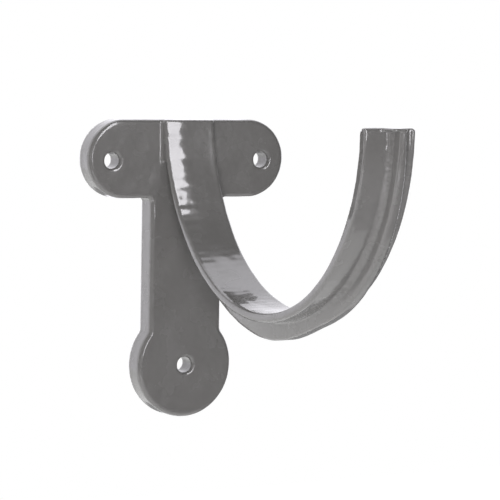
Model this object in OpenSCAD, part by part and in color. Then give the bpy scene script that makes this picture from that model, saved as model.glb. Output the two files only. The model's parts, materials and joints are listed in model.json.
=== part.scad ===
// Gutter bracket for a half-round gutter.
// One casting: a T-shaped wall plate with three screw holes, and a half-round
// strap that carries the gutter, stiffened outside by a rib that grows deeper
// towards the wall. X runs along the gutter, the back of the plate is y = 0,
// +Y points into the wall and z = 0 is the line of the two upper holes.

/* [Wall plate] */
// Thickness of the plate
plate_t = 7.5; // [5:0.5:10]
// Width of the cross bar at the top
bar_w = 76; // [72:1:90]
// Height of the cross bar, whose ends are full round
bar_h = 27; // [24:0.5:30]
// Width of the stem below the bar
stem_w = 28; // [26:0.5:30]
// Radius of the round pad at the foot of the stem
pad_r = 18.2; // [16.4:0.2:18.6]
// Rounding of the front edge, all around the plate
edge_r = 1.5; // [0.8:0.1:2]
// Fillet between bar and stem
corner_r = 1.5; // [1:0.5:4]
// Height of the neck fillet's centre above the pad's centre
neck_rise = 12.6; // [12:0.2:15]

/* [Screw holes] */
// Diameter of the three screw holes
hole_d = 6; // [5:0.5:9]
// Distance between the two upper holes
hole_gap = 58; // [50:1:60]
// Depth of the upper holes below the top edge
hole_drop = 14; // [12:0.5:16]
// Distance from the upper holes down to the lower one
lower_drop = 71; // [60:1:95]
// Rounding of the hole rims on the front
rim_r = 1; // [0.3:0.1:1.2]

/* [Gutter strap] */
// Radius of the seat, half the outside diameter of the gutter
seat_r = 60.5; // [50:0.5:76]
// Width of the strap along the gutter
strap_w = 18.4; // [15:0.2:22]
// Thickness of the strap
strap_t = 3.2; // [2.8:0.1:5]
// Rounding of the long edges of the strap
strap_edge_r = 1.1; // [0.5:0.1:1.3]
// Height of the strap's centre above the top of the plate
centre_rise = 0.6; // [0.2:0.1:1.5]
// Height of the tip above the top of the plate
tip_rise = 1.6; // [1:0.1:12]
// Rounding of the two corners of the tip
tip_r = 1.5; // [0.5:0.1:3]
// Fillet where the strap leaves the plate
root_r = 1; // [0.5:0.1:2]

/* [Rib] */
// Width of the rib
rib_w = 5.8; // [4:0.1:8]
// Depth of the rib at the tip
rib_tip = 4.8; // [4:0.1:6]
// Depth of the rib at the bottom of the half circle
rib_bottom = 5.8; // [4.8:0.1:6.2]
// Depth that the rib's outer line would reach at the wall, level with the tip
rib_root = 10; // [9:0.2:12]
// Rounding of the rib's nose
nose_r = 1.3; // [0.5:0.1:1.4]
// Fillet between rib and strap
rib_fillet = 1.8; // [0.5:0.1:2]

/* [Hidden] */
$fn = 96;
// how far a cutter runs past what it cuts
over = 1;

// heights above the line of the upper holes
plate_top = hole_drop;
bar_z = plate_top - bar_h / 2;
bar_foot = plate_top - bar_h;
pad_z = -lower_drop;
arc_z = plate_top + centre_rise;
tip_z = plate_top + tip_rise;

// fillet that touches both the side of the stem and the pad
neck_r = (pow(neck_rise, 2) + pow(stem_w / 2, 2) - pow(pad_r, 2)) / (2 * pad_r - stem_w);

// the strap stands on the front of the plate
outer_r = seat_r + strap_t;
mid_r = seat_r + strap_t / 2;
arc_y = -(plate_t + outer_r);

// the rib's outer line is a circle of its own, moved up and towards the wall,
// so the rib grows from the tip to the wall
rib_mean = (rib_root + rib_tip) / 2;
rib_shift = (rib_root - rib_tip) / 2;
rib_lift = rib_mean - rib_bottom;
rib_r = outer_r + rib_mean;

// angle below the strap's centre at which the root fillet touches the strap
root_angle = acos((outer_r - root_r) / (outer_r + root_r));

// ---- sections -------------------------------------------------------------

// half of the plate's section: wall face on the X axis, front edge rounded
module plate_half(reach) {
    square([reach - edge_r, plate_t]);
    square([reach, plate_t - edge_r]);
    translate([reach - edge_r, plate_t - edge_r]) circle(r = edge_r);
}

module rounded_rect(w, h, r) {
    translate([r, 0]) square([w - 2 * r, h]);
    translate([0, r]) square([w, h - 2 * r]);
    for (x = [r, w - r], y = [r, h - r]) translate([x, y]) circle(r = r);
}

// strap with the fillets that carry the rib; X is the distance from the
// strap's centre and Y runs along the gutter
module strap_section() {
    translate([seat_r, -strap_w / 2]) rounded_rect(strap_t, strap_w, strap_edge_r);
    difference() {
        foot_w = rib_w + 2 * rib_fillet;
        translate([mid_r, -foot_w / 2]) square([outer_r + rib_fillet - mid_r, foot_w]);
        for (side = [-1, 1])
            translate([outer_r + rib_fillet, side * foot_w / 2]) circle(r = rib_fillet);
    }
}

// rib from radius start out to its rounded nose at radius reach
module rib_section(start, reach) {
    translate([start, -rib_w / 2]) square([reach - nose_r - start, rib_w]);
    translate([start, nose_r - rib_w / 2]) square([reach - start, rib_w - 2 * nose_r]);
    for (side = [-1, 1]) translate([reach - nose_r, side * (rib_w / 2 - nose_r)]) circle(r = nose_r);
}

// ---- wall plate, drawn flat with its wall face down ------------------------

// a hole of radius r whose front rim is rounded by rim
module flared_hole(r, rim) {
    rotate_extrude() difference() {
        translate([0, -over]) square([r + rim, plate_t + 2 * over]);
        translate([r, -2 * over]) square([rim + over, plate_t - rim + 2 * over]);
        translate([r + rim, plate_t - rim]) circle(r = rim);
        translate([r + rim, plate_t - rim]) square([over, rim]);
    }
}

module round_pad(r) {
    rotate_extrude() plate_half(r);
}

module cross_bar() {
    end_x = (bar_w - bar_h) / 2;
    for (side = [-1, 1]) translate([side * end_x, bar_z, 0]) round_pad(bar_h / 2);
    translate([-end_x, bar_z, 0]) rotate([90, 0, 90]) linear_extrude(2 * end_x) {
        plate_half(bar_h / 2);
        mirror([1, 0]) plate_half(bar_h / 2);
    }
}

module stem() {
    translate([0, bar_z, 0]) rotate([90, 0, 0]) linear_extrude(bar_z - pad_z) {
        plate_half(stem_w / 2);
        mirror([1, 0]) plate_half(stem_w / 2);
    }
}

// fillets on the right of the stem, with the same rounded front edge
module stem_fillets() {
    corner = [stem_w / 2 + corner_r, bar_foot - corner_r];
    neck = [stem_w / 2 + neck_r, pad_z + neck_rise];
    difference() {
        translate([0, corner.y, 0]) cube([corner.x, bar_z - corner.y, plate_t]);
        translate(corner) flared_hole(corner_r, edge_r);
    }
    difference() {
        linear_extrude(plate_t) polygon([[0, pad_z], neck, [0, neck.y]]);
        translate(neck) flared_hole(neck_r, edge_r);
    }
}

module wall_plate() {
    rotate([90, 0, 0]) difference() {
        union() {
            cross_bar();
            stem();
            translate([0, pad_z, 0]) round_pad(pad_r);
            stem_fillets();
            mirror([1, 0, 0]) stem_fillets();
        }
        for (x = [-hole_gap / 2, hole_gap / 2]) translate([x, 0, 0]) flared_hole(hole_d / 2, rim_r);
        translate([0, pad_z, 0]) flared_hole(hole_d / 2, rim_r);
    }
}

// ---- gutter arm -------------------------------------------------------------

// turns a ring about Z into one about the gutter's axis, starting at the wall;
// shift moves it towards the wall and lift moves it up
module about_gutter(shift = 0, lift = 0) {
    translate([0, arc_y + shift, arc_z + lift]) rotate([-90, 0, 90]) children();
}

module strap() {
    difference() {
        about_gutter() rotate_extrude(angle = 180) strap_section();
        // cut level with the top of the plate
        translate([-strap_w, arc_y, plate_top]) cube([2 * strap_w, outer_r + plate_t, centre_rise + over]);
    }
}

module rib() {
    difference() {
        about_gutter(rib_shift, rib_lift) rotate_extrude() rib_section(mid_r - rib_mean, rib_r);
        about_gutter() cylinder(r = mid_r, h = strap_w, center = true);
        // in front the rib ends with the tip, at the wall inside the plate
        translate([-strap_w, arc_y - rib_r, tip_z]) cube([2 * strap_w, 2 * rib_r, 2 * rib_r]);
        translate([-strap_w, arc_y, bar_z]) cube([2 * strap_w, 2 * rib_r, 2 * rib_r]);
        translate([-strap_w, -plate_t / 2, -rib_r]) cube([2 * strap_w, plate_t, 2 * rib_r]);
    }
}

// fills the narrow wedge between strap and plate, down to a fillet
module root() {
    touch = [arc_y + mid_r * cos(root_angle), arc_z - mid_r * sin(root_angle)];
    hollow = [-plate_t - root_r, arc_z - (outer_r + root_r) * sin(root_angle)];
    translate([-strap_w / 2, 0, 0]) rotate([90, 0, 90]) linear_extrude(strap_w) difference() {
        polygon([
            [-plate_t / 2, plate_top],
            [-plate_t - strap_t / 2, plate_top],
            touch,
            hollow,
            [-plate_t / 2, hollow.y]
        ]);
        translate(hollow) circle(r = root_r);
    }
}

// straight end of the strap, up to the tip
module tip() {
    translate([0, arc_y, arc_z]) rotate([0, 0, -90]) linear_extrude(tip_z - arc_z) strap_section();
}

// what is cut away outside the two rounded corners of the tip
module tip_corner() {
    reach = strap_t + rib_tip + 2 * over;
    translate([strap_w / 2 - tip_r, arc_y - seat_r + over, tip_z - tip_r]) rotate([90, 0, 0])
        difference() {
            cube([tip_r + over, tip_r + over, reach]);
            translate([0, 0, -over]) cylinder(r = tip_r, h = reach + 2 * over);
        }
}

module arm() {
    difference() {
        union() {
            strap();
            tip();
            rib();
        }
        tip_corner();
        mirror([1, 0, 0]) tip_corner();
    }
    root();
}

// ---- the part ---------------------------------------------------------------

module bracket() {
    color("dimgray") union() {
        wall_plate();
        arm();
    }
}

bracket();
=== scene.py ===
"""Looks of a cast gutter bracket: its coat of gloss paint over a lumpy casting, and a plain studio.

The casting is one piece. Its visible skin is grown from the CAD node: the node's mesh is remeshed
finely and each point is moved onto one smooth surface, written below as a distance function. It
has the node's sizes and the forms of this one casting, with edges and inner corners rounded as
thick paint leaves them.
"""

import json
import math

import bmesh
import bpy
import numpy as np
from mathutils import Matrix, Vector


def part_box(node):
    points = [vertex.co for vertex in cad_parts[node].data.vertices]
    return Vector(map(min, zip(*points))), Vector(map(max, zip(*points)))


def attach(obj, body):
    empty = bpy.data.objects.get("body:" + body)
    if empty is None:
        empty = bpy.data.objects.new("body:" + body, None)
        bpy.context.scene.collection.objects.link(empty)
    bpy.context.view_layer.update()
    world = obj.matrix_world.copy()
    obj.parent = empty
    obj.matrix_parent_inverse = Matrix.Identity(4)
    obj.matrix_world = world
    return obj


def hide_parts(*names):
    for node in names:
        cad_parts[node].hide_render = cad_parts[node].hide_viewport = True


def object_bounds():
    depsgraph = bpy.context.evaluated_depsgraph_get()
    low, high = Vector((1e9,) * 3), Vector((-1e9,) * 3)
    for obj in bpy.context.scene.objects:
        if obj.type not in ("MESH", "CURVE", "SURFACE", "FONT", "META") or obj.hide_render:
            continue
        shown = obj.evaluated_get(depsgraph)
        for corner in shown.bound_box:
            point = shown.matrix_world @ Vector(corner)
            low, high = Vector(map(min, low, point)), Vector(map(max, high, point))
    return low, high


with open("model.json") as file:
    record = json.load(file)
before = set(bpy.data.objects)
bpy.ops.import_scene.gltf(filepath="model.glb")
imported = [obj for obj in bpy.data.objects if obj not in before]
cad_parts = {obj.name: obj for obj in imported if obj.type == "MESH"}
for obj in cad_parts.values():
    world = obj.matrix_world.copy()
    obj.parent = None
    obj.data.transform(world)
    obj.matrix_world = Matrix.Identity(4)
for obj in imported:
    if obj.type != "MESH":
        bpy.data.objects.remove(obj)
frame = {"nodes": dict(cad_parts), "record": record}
cad_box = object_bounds()

# ---- sizes in millimetres and degrees, from the frame where it has them --------------------------

MM = 0.001
mounts = {mount["name"]: mount for mount in frame["record"]["mounts"]}
upper_holes = mounts["upper_holes"]
lower_hole = mounts["lower_hole"]
seat = mounts["gutter_seat"]
box_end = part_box("bracket")[1] / MM

# wall plate
PLATE_T = -2 * upper_holes["pos_m"][1] / MM
PLATE_TOP = 14
BAR_HALF = box_end.x
BAR_R = 13.5
BAR_Z = PLATE_TOP - BAR_R
STEM_HALF = 14
PAD_R = 18.2
PAD_Z = lower_hole["pos_m"][2] / MM
EDGE_R = 1.5
BACK_R = 0.35
CORNER_R = 1.5

# fillet that touches both the side of the stem and the pad
NECK_RISE = 12.6
NECK_R = (NECK_RISE**2 + STEM_HALF**2 - PAD_R**2) / (2 * (PAD_R - STEM_HALF))
NECK_X = STEM_HALF + NECK_R
NECK_Z = PAD_Z + NECK_RISE

# screw holes, with the paint inside them
PAINT_IN_HOLE = 0.25
HOLE_R = upper_holes["dims"]["hole_r_mm"] - PAINT_IN_HOLE
HOLE_HALF_GAP = upper_holes["dims"]["spacing_x_mm"] / 2
RIM_R = PLATE_T - lower_hole["dims"]["length_mm"]

# strap, swept about the gutter's line: angles are counted from the wall, down and round to the tip
# at 180, and the seat's stated length leaves out the strap's rounded edges
SEAT_R = seat["dims"]["r_mm"]
ARC_Y = seat["pos_m"][1] / MM
ARC_Z = seat["pos_m"][2] / MM
OUTER_R = -ARC_Y - PLATE_T
STRAP_EDGE_R = 1.1
STRAP_HALF = seat["dims"]["length_mm"] / 2 + STRAP_EDGE_R
TIP_Z = box_end.z
TIP_R = 1.5
TOP_R = 0.6

# towards the tip the strap's long edges are sharper, and it is narrower on the right
SHARPENS_FROM = 115
SHARPENS_TO = 155
TIP_EDGE_R = 0.5
TIP_NARROWING = 0.4

# by the wall the strap is thinner, and wider on the left
RELIEF = 1.1
RELIEF_END = 38
RELIEF_CURVE = 1.5
FLARE = 1.0
FLARE_END = 45

# shallow bevel along the left of the inner face, widening away from the wall, with a ragged limit
BEVEL_W = 4.9
BEVEL_GROWTH = 0.055
BEVEL_SLOPE = 0.14
BEVEL_BLEND = 1.0
BEVEL_FADES_FROM = 32
BEVEL_END = 46
# height of each wave, its length over 2 pi, and its phase in radians
RAGGED_WAVES = ((0.45, 0.9, 0), (0.35, 0.53, 1.3), (0.3, 1.7, 0))

# ripples across the whole inner face, bent a little over its width
RIPPLE = 0.008
RIPPLE_LENGTH = 2.7
RIPPLE_BEND = 3

# thin lip along the right of the inner face
LIP_X = 7.6
LIP_W = 0.6
LIP_RISE = 0.06
LIP_FADES_FROM = 26
LIP_END = 40

# seam that stands up along the right edge of the outer face
SEAM_X = 6.9
SEAM_W = 0.9
SEAM_RISE = 0.3

# rib, whose outer line is a circle of its own, moved up and towards the wall
RIB_TIP = 4.8
RIB_BOTTOM = 5.8
RIB_ROOT = 10
RIB_MEAN = (RIB_ROOT + RIB_TIP) / 2
RIB_R = OUTER_R + RIB_MEAN
RIB_Y = ARC_Y + (RIB_ROOT - RIB_TIP) / 2
RIB_Z = ARC_Z + RIB_MEAN - RIB_BOTTOM
NOSE_LEFT_R = 1.0
NOSE_RIGHT_R = 0.8
RIB_FILLET = 0.8
# where this casting's rib is fuller or leaner than its circle: angle, spread and height
RIB_SWELLS = ((84, 12, 0.8), (108, 8, -1.2), (141, 12, 0.25))

# distance of the rib's two flanks from the middle, and how far each moves to the right
RIB_LEFT = 2.05
RIB_LEFT_SHIFT = 2.8
RIB_RIGHT = 3.2
RIB_RIGHT_SHIFT = 1.2
RIB_SHIFTS_FROM = 80
RIB_SHIFTS_TO = 150
# the left flank leans, and the right one comes back in at the tip
RIB_DRAFT = 0.15
RIB_NARROWING = 1.7
RIB_NARROWS_FROM = 140
RIB_NARROWS_TO = 180

# wedge between strap and plate, down to a fillet that touches both
ROOT_R = 1.0
ROOT_ANGLE = math.acos((OUTER_R - ROOT_R) / (OUTER_R + ROOT_R))
ROOT_Y = -PLATE_T - ROOT_R
ROOT_Z = ARC_Z - (OUTER_R + ROOT_R) * math.sin(ROOT_ANGLE)
# how far rib and wedge run into the strap, and the fillet where the arm leaves the plate
SUNK = 0.4
WALL_FILLET = 0.5

# lumps: height, length and seed of each set of waves, their mean depth and the most that it may be
LUMPS = ((0.025, 17, 1), (0.018, 6.5, 2), (0.007, 2.8, 3))
LUMP_MEAN = 0.08
LUMP_MOST = 0.25
# distance from the wall face over which they set in
LUMP_RUN = 2
WAVE_COUNT = 40

# width of the visible mesh's quads, and the distance within which corners of the node's are one
GRID = 0.5
WELD = 0.001
# half the distance over which the surface's slope is measured, and the longest single move onto it
PROBE = 0.02
LONGEST_MOVE = 0.4
# least square of the slope to divide by, and least length
LEAST_STEEPNESS = 0.05
TINY = 1e-9
# how often the mesh is evened
EVENINGS = 2

# ---- the casting's surface -----------------------------------------------------------------------


def rounded_and(a, b, r):
    """Common part of two solids, with the edge between their faces rounded by r."""
    return np.minimum(np.maximum(a, b), -r) + np.hypot(np.maximum(a + r, 0), np.maximum(b + r, 0))


def filleted_or(a, b, r):
    """Two solids joined, with a fillet of radius r in the corner between their faces."""
    return np.maximum(np.minimum(a, b), r) - np.hypot(np.maximum(r - a, 0), np.maximum(r - b, 0))


def ramp(value, start, end):
    """Smooth step from 0 to 1 as value goes from start to end, which may be the smaller of the two."""
    share = np.clip((value - start) / (end - start), 0, 1)
    return share * share * (3 - 2 * share)


def plate_outline(x, z):
    """Distance to the T-shaped outline with its round pad, seen from the front."""
    x = np.abs(x)
    bar = np.hypot(np.maximum(x - (BAR_HALF - BAR_R), 0), z - BAR_Z) - BAR_R
    stem = np.maximum(x - STEM_HALF, np.maximum(z - BAR_Z, PAD_Z - z))
    pad = np.hypot(x, z - PAD_Z) - PAD_R
    # the neck fillet ends level with its centre, and on the line from there to the pad's centre
    below = (x * NECK_RISE - (z - PAD_Z) * NECK_X) / math.hypot(NECK_X, NECK_RISE)
    neck = NECK_R - np.hypot(x - NECK_X, z - NECK_Z)
    neck = np.maximum(neck, np.maximum(z - NECK_Z, below))
    return np.minimum(filleted_or(bar, stem, CORNER_R), np.minimum(pad, neck))


def wall_plate(x, y, z):
    """Distance to the plate with its three holes."""
    plate = rounded_and(plate_outline(x, z), -y - PLATE_T, EDGE_R)
    off_axis = np.minimum(np.hypot(np.abs(x) - HOLE_HALF_GAP, z), np.hypot(x, z - PAD_Z))
    return rounded_and(rounded_and(plate, HOLE_R - off_axis, RIM_R), y, BACK_R)


def sharpened(angle):
    """How sharp the strap's long edges are, from 0 by the wall to 1 at the tip."""
    return ramp(angle, SHARPENS_FROM, SHARPENS_TO)


def strap_sides(x, angle):
    """Distance to the strap's two sides."""
    flare = FLARE * ramp(angle, FLARE_END, 0)
    return np.maximum(x + TIP_NARROWING * sharpened(angle), -x - flare) - STRAP_HALF


def inner_face(x, angle):
    """Distance of the strap's inner face from the gutter's line."""
    along = np.radians(angle) * SEAT_R
    ragged = sum(height * np.sin(along / length + phase) for height, length, phase in RAGGED_WAVES)
    bevelled = BEVEL_W + BEVEL_GROWTH * angle + ragged - STRAP_HALF - x
    bevel = BEVEL_SLOPE * (bevelled + np.hypot(bevelled, BEVEL_BLEND)) / 2
    bevel = bevel * ramp(angle, BEVEL_END, BEVEL_FADES_FROM)
    ripple = RIPPLE * np.sin(2 * math.pi * along / RIPPLE_LENGTH + np.sin(x / RIPPLE_BEND))
    lip = LIP_RISE * np.exp(-np.square((x - LIP_X) / LIP_W)) * ramp(angle, LIP_END, LIP_FADES_FROM)
    relief = RELIEF * np.clip(1 - angle / RELIEF_END, 0, 1) ** RELIEF_CURVE
    return SEAT_R + relief + bevel + ripple - lip


def strap(x, reach, angle, outline):
    """Distance to the strap, which outline bounds at its sides and its two ends."""
    seam = SEAM_RISE * ramp(x, SEAM_X, SEAM_X + SEAM_W)
    faces = np.maximum(reach - OUTER_R - seam, inner_face(x, angle) - reach)
    edge_r = STRAP_EDGE_R + (TIP_EDGE_R - STRAP_EDGE_R) * sharpened(angle)
    return rounded_and(faces, outline, edge_r)


def rib(x, y, z, angle):
    """Distance to the rib, which runs on inside the strap and the plate."""
    nose = np.hypot(y - RIB_Y, z - RIB_Z) - RIB_R
    for middle, spread, height in RIB_SWELLS:
        nose -= height * np.exp(-np.square((angle - middle) / spread) / 2)
    shift = ramp(angle, RIB_SHIFTS_FROM, RIB_SHIFTS_TO)
    left = (RIB_LEFT_SHIFT * shift - x - RIB_LEFT + RIB_DRAFT * nose) / math.hypot(1, RIB_DRAFT)
    share = np.clip((angle - RIB_NARROWS_FROM) / (RIB_NARROWS_TO - RIB_NARROWS_FROM), 0, 1)
    right = x - RIB_RIGHT - RIB_RIGHT_SHIFT * shift + RIB_NARROWING * np.square(share)
    return rounded_and(rounded_and(nose, left, NOSE_LEFT_R), right, NOSE_RIGHT_R)


def wedge(y, z):
    """Distance to the wedge, which lies above the fillet and isn't bounded by strap or plate."""
    dy = y - ROOT_Y
    dz = z - ROOT_Z
    # it ends at the lines from the fillet's centre to where the fillet touches strap and plate
    below = -(dy * math.sin(ROOT_ANGLE) + dz * math.cos(ROOT_ANGLE))
    return np.maximum(ROOT_R - np.hypot(dy, dz), np.maximum(below, -dz))


def arm(x, y, z):
    """Distance to strap, rib and wedge joined."""
    # above ARC_Z fall is zero and the angle on the tip's side is -180, not 180, so the last millimetre
    # of the tip has the forms that strap and rib have by the wall
    fall = np.minimum(z - ARC_Z, 0)
    reach = np.hypot(y - ARC_Y, fall)
    angle = np.degrees(np.arctan2(-fall, y - ARC_Y))
    at_tip = y < ARC_Y
    top = z - np.where(at_tip, TIP_Z, PLATE_TOP)
    sides = strap_sides(x, angle)
    band = strap(x, reach, angle, rounded_and(sides, top, np.where(at_tip, TIP_R, TOP_R)))
    buried = np.maximum(OUTER_R - SUNK - reach, y + PLATE_T / 2)
    stiffener = rounded_and(np.maximum(rib(x, y, z, angle), buried), top, TOP_R)
    filling = np.maximum(np.maximum(wedge(y, z), buried), np.maximum(top, sides))
    return np.minimum(filleted_or(band, stiffener, RIB_FILLET), filling)


def body(points):
    """Distance of points to the casting without its lumps: negative inside it."""
    x, y, z = points.T
    whole = filleted_or(arm(x, y, z), wall_plate(x, y, z), WALL_FILLET)
    # no fillet rises above the top of the plate, or of the tip
    return np.maximum(whole, np.where(y > ARC_Y, z - PLATE_TOP, z - TIP_Z))


def waves(points, length, seed):
    """Smooth random field of about unit strength, made of waves of one length in all directions."""
    rng = np.random.default_rng(seed)
    towards = rng.normal(size=(WAVE_COUNT, 3))
    towards *= 2 * math.pi / length / np.linalg.norm(towards, axis=1, keepdims=True)
    phase = rng.uniform(0, 2 * math.pi, WAVE_COUNT)
    return np.sin(points @ towards.T + phase).sum(axis=1) * math.sqrt(2 / WAVE_COUNT)


def lump_depth(points):
    """How deep the painted surface lies below the body, none of it on the flat wall face."""
    lumps = sum(height * waves(points, length, seed) for height, length, seed in LUMPS)
    return np.clip(LUMP_MEAN + lumps, 0, LUMP_MOST) * np.clip(-points[:, 1] / LUMP_RUN, 0, 1)


def settled(points, depth=0, passes=5):
    """Moves points onto the surface that lies depth below the body's, in several short moves."""
    shifts = np.eye(3) * PROBE
    for _ in range(passes):
        slope = np.stack([body(points + s) - body(points - s) for s in shifts], axis=1) / (2 * PROBE)
        steepness = np.maximum(np.square(slope).sum(axis=1), LEAST_STEEPNESS)
        move = slope * ((body(points) + depth) / steepness)[:, None]
        length = np.linalg.norm(move, axis=1, keepdims=True)
        points = points - move * np.minimum(1, LONGEST_MOVE / np.maximum(length, TINY))
    return points


# ---- the casting's mesh --------------------------------------------------------------------------


def add_object(name, data):
    """New object for a mesh, lamp or camera, put into the scene."""
    thing = bpy.data.objects.new(name, data)
    bpy.context.scene.collection.objects.link(thing)
    return thing


def remeshed(source):
    """Copy of a mesh as an even grid of quads."""
    mesh = source.copy()
    welded = bmesh.new()
    welded.from_mesh(mesh)
    bmesh.ops.remove_doubles(welded, verts=welded.verts, dist=WELD * MM)
    welded.to_mesh(mesh)
    welded.free()
    rough = add_object("rough", mesh)
    remesh = rough.modifiers.new("grid", "REMESH")
    remesh.mode = "VOXEL"
    remesh.voxel_size = GRID * MM
    even = bpy.data.meshes.new_from_object(rough.evaluated_get(bpy.context.evaluated_depsgraph_get()))
    bpy.data.objects.remove(rough)
    return even


def points_of(mesh):
    """The mesh's points in millimetres, one row each."""
    points = np.zeros(len(mesh.vertices) * 3)
    mesh.vertices.foreach_get("co", points)
    return points.reshape(-1, 3) / MM


def place_points(mesh, points):
    """Puts the mesh's points where the rows of points say, in millimetres."""
    mesh.vertices.foreach_set("co", (points * MM).ravel())


def evened(mesh, points):
    """Moves each point halfway to the middle of its neighbours."""
    edges = np.zeros(len(mesh.edges) * 2, np.int32)
    mesh.edges.foreach_get("vertices", edges)
    a, b = edges.reshape(-1, 2).T
    total = np.zeros_like(points)
    np.add.at(total, a, points[b])
    np.add.at(total, b, points[a])
    count = np.bincount(edges, minlength=len(points))[:, None]
    return (points + total / count) / 2


def make_casting():
    """The visible casting: the node's mesh on a fine grid, settled on the surface with its lumps."""
    mesh = remeshed(frame["nodes"]["bracket"].data)
    # the rib stands elsewhere than the node's, so the grid is made anew where it was stretched
    place_points(mesh, settled(points_of(mesh), passes=12))
    mesh = remeshed(mesh)
    points = settled(points_of(mesh))
    for _ in range(EVENINGS):
        points = settled(evened(mesh, points), passes=2)
    place_points(mesh, settled(points, lump_depth(points), passes=3))
    mesh.shade_smooth()
    mesh.name = "casting"
    return add_object("casting", mesh)


# ---- materials -----------------------------------------------------------------------------------

PAINT_DARKER = (0.146, 0.143, 0.136, 1)
PAINT_LIGHTER = (0.150, 0.147, 0.140, 1)
PAINT_ROUGHNESS = (0.20, 0.30)
COAT_ROUGHNESS = 0.08
PAINT_IOR = 1.5
# noise values between which the roughness goes from its least to its most
PATCH_RANGE = (0.35, 0.65)
# metres: how large blobs of tint, patches of roughness and the peel are, and how deep the peel is
TINT_SIZE = 0.020
PATCH_SIZE = 0.009
PEEL_SIZE = 0.0012
PEEL_DEPTH = 0.00003
PEEL_STRENGTH = 0.6

FLOOR_GREY = 0.85
FLOOR_GLOW = 0.8


def grey(level):
    """Neutral colour."""
    return (level, level, level, 1)


def new_material(name):
    """New material, with its nodes and links."""
    material = bpy.data.materials.new(name)
    material.use_nodes = True
    return material, material.node_tree.nodes, material.node_tree.links


def noise_node(nodes, links, place, size, detail):
    """Noise whose blobs are about size metres across."""
    noise = nodes.new("ShaderNodeTexNoise")
    noise.inputs["Scale"].default_value = 1 / size
    noise.inputs["Detail"].default_value = detail
    links.new(place, noise.inputs["Vector"])
    return noise.outputs["Fac"]


def map_range(nodes, links, value, source, target):
    """Value taken from the range source to the range target, and kept within that."""
    node = nodes.new("ShaderNodeMapRange")
    for name, number in zip(("From Min", "From Max", "To Min", "To Max"), source + target):
        node.inputs[name].default_value = number
    links.new(value, node.inputs["Value"])
    return node.outputs["Result"]


def mix_colours(nodes, links, share, first, second):
    """Colour that goes from first to second as share goes from 0 to 1."""
    mix = nodes.new("ShaderNodeMix")
    mix.data_type = "RGBA"
    mix.inputs["A"].default_value = first
    mix.inputs["B"].default_value = second
    links.new(share, mix.inputs["Factor"])
    return mix.outputs["Result"]


def mix_shaders(nodes, links, share, first, second):
    """Shader that is first where share is 0 and second where it is 1."""
    mix = nodes.new("ShaderNodeMixShader")
    links.new(share, mix.inputs["Fac"])
    links.new(first, mix.inputs[1])
    links.new(second, mix.inputs[2])
    return mix.outputs["Shader"]


def gloss_paint():
    """Thick grey paint under a clear gloss, with faint blobs of tint, duller patches and orange peel."""
    material, nodes, links = new_material("gloss_paint")
    shader = nodes["Principled BSDF"]
    shader.inputs["IOR"].default_value = PAINT_IOR
    shader.inputs["Coat Weight"].default_value = 1
    shader.inputs["Coat Roughness"].default_value = COAT_ROUGHNESS
    place = nodes.new("ShaderNodeTexCoord").outputs["Object"]

    blobs = noise_node(nodes, links, place, TINT_SIZE, detail=3)
    tint = mix_colours(nodes, links, blobs, PAINT_DARKER, PAINT_LIGHTER)
    links.new(tint, shader.inputs["Base Color"])

    patches = noise_node(nodes, links, place, PATCH_SIZE, detail=3)
    roughness = map_range(nodes, links, patches, PATCH_RANGE, PAINT_ROUGHNESS)
    links.new(roughness, shader.inputs["Roughness"])

    peel = nodes.new("ShaderNodeBump")
    peel.inputs["Distance"].default_value = PEEL_DEPTH
    peel.inputs["Strength"].default_value = PEEL_STRENGTH
    links.new(noise_node(nodes, links, place, PEEL_SIZE, detail=2), peel.inputs["Height"])
    links.new(peel.outputs["Normal"], shader.inputs["Normal"])
    return material


def floor_paper():
    """Pale paper, lifted to white for the camera, on which shadows still show."""
    material, nodes, links = new_material("floor_paper")
    nodes.remove(nodes["Principled BSDF"])
    paper = nodes.new("ShaderNodeBsdfDiffuse")
    paper.inputs["Color"].default_value = grey(FLOOR_GREY)
    glow = nodes.new("ShaderNodeEmission")
    glow.inputs["Strength"].default_value = FLOOR_GLOW
    lifted = nodes.new("ShaderNodeAddShader")
    links.new(paper.outputs["BSDF"], lifted.inputs[0])
    links.new(glow.outputs["Emission"], lifted.inputs[1])
    by_camera = nodes.new("ShaderNodeLightPath").outputs["Is Camera Ray"]
    seen = mix_shaders(nodes, links, by_camera, paper.outputs["BSDF"], lifted.outputs["Shader"])
    links.new(seen, nodes["Material Output"].inputs["Surface"])
    return material


def glowing_card(name, glow):
    """Even white glow of strength glow."""
    material, nodes, links = new_material(name)
    nodes.remove(nodes["Principled BSDF"])
    light = nodes.new("ShaderNodeEmission")
    light.inputs["Strength"].default_value = glow
    links.new(light.outputs["Emission"], nodes["Material Output"].inputs["Surface"])
    return material


# ---- studio, in metres and degrees ---------------------------------------------------------------

FLOOR_DROP = 0.30
FLOOR_Z = cad_box[0].z - FLOOR_DROP
FLOOR_HALF = 1.3

# dark upright card to the left of the bar
FLAG_LEFT = -0.119
FLAG_RIGHT = -0.040
FLAG_FOOT = -0.020
FLAG_HEAD = 0.060
FLAG_Y = -0.012
FLAG_GLOW = 0.03

# white card just above the floor, whose right side runs slantwise
BOUNCE_LIFT = 0.01
BOUNCE_Z = FLOOR_Z + BOUNCE_LIFT
BOUNCE_LEFT = -1.2
BOUNCE_RIGHT_FRONT = 0.35
BOUNCE_RIGHT_BACK = -0.1
BOUNCE_FRONT = -0.34
BOUNCE_BACK = 1.3
BOUNCE_GLOW = 1.08

# what the world sends out: plain light, and what reflections see in front and behind
PLAIN_LIGHT = 0.28
MIRRORED_FRONT = grey(0.10)
MIRRORED_BACK = (1.32, 1.30, 1.37, 1)
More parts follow.
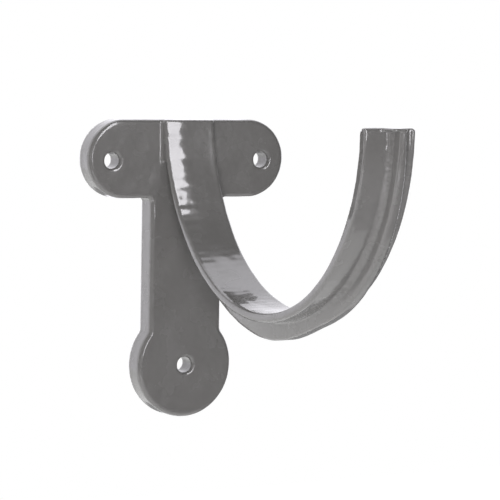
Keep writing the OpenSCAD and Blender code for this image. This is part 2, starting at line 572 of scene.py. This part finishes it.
# parts of a direction between which front turns into back, and between which the strength goes
# from the first of its values to the second: a little dimmer to the left and brighter overhead
BACK_Y = (0.03, 0.10)
SIDEWAYS_X = (-0.4, 0.3)
SIDEWAYS_STRENGTH = (0.95, 1)
OVERHEAD_Z = (0.65, 0.85)
OVERHEAD_STRENGTH = (1, 1.5)

LAMP_DISTANCE = 1.2
LAMP_COLOUR = (1, 0.985, 1.03)

CAMERA_TARGET = Vector((8.93, -35.78, -29.05)) * MM
CAMERA_DISTANCE = 0.814
CAMERA_AZIMUTH = -29.75
CAMERA_ELEVATION = 4.654
CAMERA_ROLL = 1.007
CAMERA_NEAREST = 0.01
# millimetres
CAMERA_LENS = 173.89
CAMERA_SENSOR = 36


def direction(azimuth, elevation):
    """Unit vector away from the bracket. Azimuth 0 is in front of it, positive to its right."""
    a = math.radians(azimuth)
    e = math.radians(elevation)
    return Vector((math.sin(a) * math.cos(e), -math.cos(a) * math.cos(e), math.sin(e)))


def add_panel(name, corners, material):
    """Flat part of the studio with four corners."""
    mesh = bpy.data.meshes.new(name)
    mesh.from_pydata(corners, [], [range(4)])
    mesh.materials.append(material)
    panel = add_object(name, mesh)
    return panel


def add_floor():
    """Level floor under the bracket."""
    square = ((-1, -1), (1, -1), (1, 1), (-1, 1))
    add_panel("floor", [(x * FLOOR_HALF, y * FLOOR_HALF, FLOOR_Z) for x, y in square], floor_paper())


def add_card(name, corners, glow):
    """Card that is seen only in reflections."""
    card = add_panel(name, corners, glowing_card(name + "_card", glow))
    card.visible_camera = False
    card.visible_diffuse = False
    card.visible_shadow = False


def add_flag():
    """Dark card that the left edge of the tip mirrors."""
    corners = (
        (FLAG_LEFT, FLAG_FOOT),
        (FLAG_RIGHT, FLAG_FOOT),
        (FLAG_RIGHT, FLAG_HEAD),
        (FLAG_LEFT, FLAG_HEAD),
    )
    add_card("flag", [(x, FLAG_Y, z) for x, z in corners], FLAG_GLOW)


def add_bounce():
    """White card that the underside of the arm mirrors."""
    corners = (
        (BOUNCE_LEFT, BOUNCE_FRONT),
        (BOUNCE_RIGHT_FRONT, BOUNCE_FRONT),
        (BOUNCE_RIGHT_BACK, BOUNCE_BACK),
        (BOUNCE_LEFT, BOUNCE_BACK),
    )
    add_card("bounce", [(x, y, BOUNCE_Z) for x, y in corners], BOUNCE_GLOW)


def mirrored_world(nodes, links):
    """What reflections see of the world: dark in front and white behind."""
    towards = nodes.new("ShaderNodeSeparateXYZ")
    links.new(nodes.new("ShaderNodeTexCoord").outputs["Generated"], towards.inputs["Vector"])
    behind = map_range(nodes, links, towards.outputs["Y"], BACK_Y, (0, 1))
    sideways = map_range(nodes, links, towards.outputs["X"], SIDEWAYS_X, SIDEWAYS_STRENGTH)
    overhead = map_range(nodes, links, towards.outputs["Z"], OVERHEAD_Z, OVERHEAD_STRENGTH)
    strength = nodes.new("ShaderNodeMath")
    strength.operation = "MULTIPLY"
    links.new(sideways, strength.inputs[0])
    links.new(overhead, strength.inputs[1])
    mirrored = nodes.new("ShaderNodeBackground")
    colour = mix_colours(nodes, links, behind, MIRRORED_FRONT, MIRRORED_BACK)
    links.new(colour, mirrored.inputs["Color"])
    links.new(strength.outputs["Value"], mirrored.inputs["Strength"])
    return mirrored.outputs["Background"]


def light_world():
    """White all round for the camera, plain grey as light, and the mirrored world in reflections."""
    world = bpy.data.worlds.new("studio")
    bpy.context.scene.world = world
    world.use_nodes = True
    nodes, links = world.node_tree.nodes, world.node_tree.links
    plain = nodes["Background"]
    plain.inputs["Color"].default_value = grey(PLAIN_LIGHT)
    white = nodes.new("ShaderNodeBackground")
    white.inputs["Color"].default_value = grey(1)
    path = nodes.new("ShaderNodeLightPath")
    mirrored = mirrored_world(nodes, links)
    around = mix_shaders(nodes, links, path.outputs["Is Glossy Ray"], plain.outputs["Background"], mirrored)
    seen = mix_shaders(nodes, links, path.outputs["Is Camera Ray"], around, white.outputs["Background"])
    links.new(seen, nodes["World Output"].inputs["Surface"])


def add_softbox(name, azimuth, elevation, width, height, radiance, mirrored):
    """Area lamp aimed at the bracket. It is seen only in reflections, or else only lights surfaces."""
    lamp = bpy.data.lights.new(name, "AREA")
    lamp.shape = "RECTANGLE"
    lamp.size = width
    lamp.size_y = height
    lamp.energy = radiance * math.pi * width * height
    lamp.color = LAMP_COLOUR
    away = direction(azimuth, elevation)
    box = add_object(name, lamp)
    box.location = (cad_box[0] + cad_box[1]) / 2 + away * LAMP_DISTANCE
    box.rotation_mode = "QUATERNION"
    box.rotation_quaternion = away.to_track_quat("Z", "Y")
    box.visible_glossy = mirrored
    box.visible_diffuse = not mirrored


def add_camera():
    """The photo's camera, which is rolled by about a degree."""
    back = direction(CAMERA_AZIMUTH, CAMERA_ELEVATION)
    level = (-back).cross(Vector((0, 0, 1))).normalized()
    upright = level.cross(-back)
    roll = math.radians(CAMERA_ROLL)
    right = level * math.cos(roll) + upright * math.sin(roll)
    up = upright * math.cos(roll) - level * math.sin(roll)
    lens = bpy.data.cameras.new("camera")
    lens.lens = CAMERA_LENS
    lens.sensor_width = CAMERA_SENSOR
    lens.clip_start = CAMERA_NEAREST
    camera = add_object("camera", lens)
    pose = Matrix((right, up, back)).transposed().to_4x4()
    pose.translation = CAMERA_TARGET + back * CAMERA_DISTANCE
    camera.matrix_world = pose
    bpy.context.scene.camera = camera


# ---- the scene -----------------------------------------------------------------------------------

casting = make_casting()
casting.data.materials.clear()
casting.data.materials.append(gloss_paint())
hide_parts("bracket")
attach(casting, "root")

add_camera()
add_floor()
light_world()
add_flag()
add_bounce()
add_softbox("key", azimuth=12, elevation=26.5, width=0.28, height=1.42, radiance=8.5, mirrored=True)
add_softbox("front", azimuth=-30, elevation=5, width=0.6, height=0.6, radiance=9.8, mirrored=False)
add_softbox("left", azimuth=-102, elevation=0, width=0.8, height=0.8, radiance=2.0, mirrored=False)
bpy.context.scene.view_settings.view_transform = "Standard"
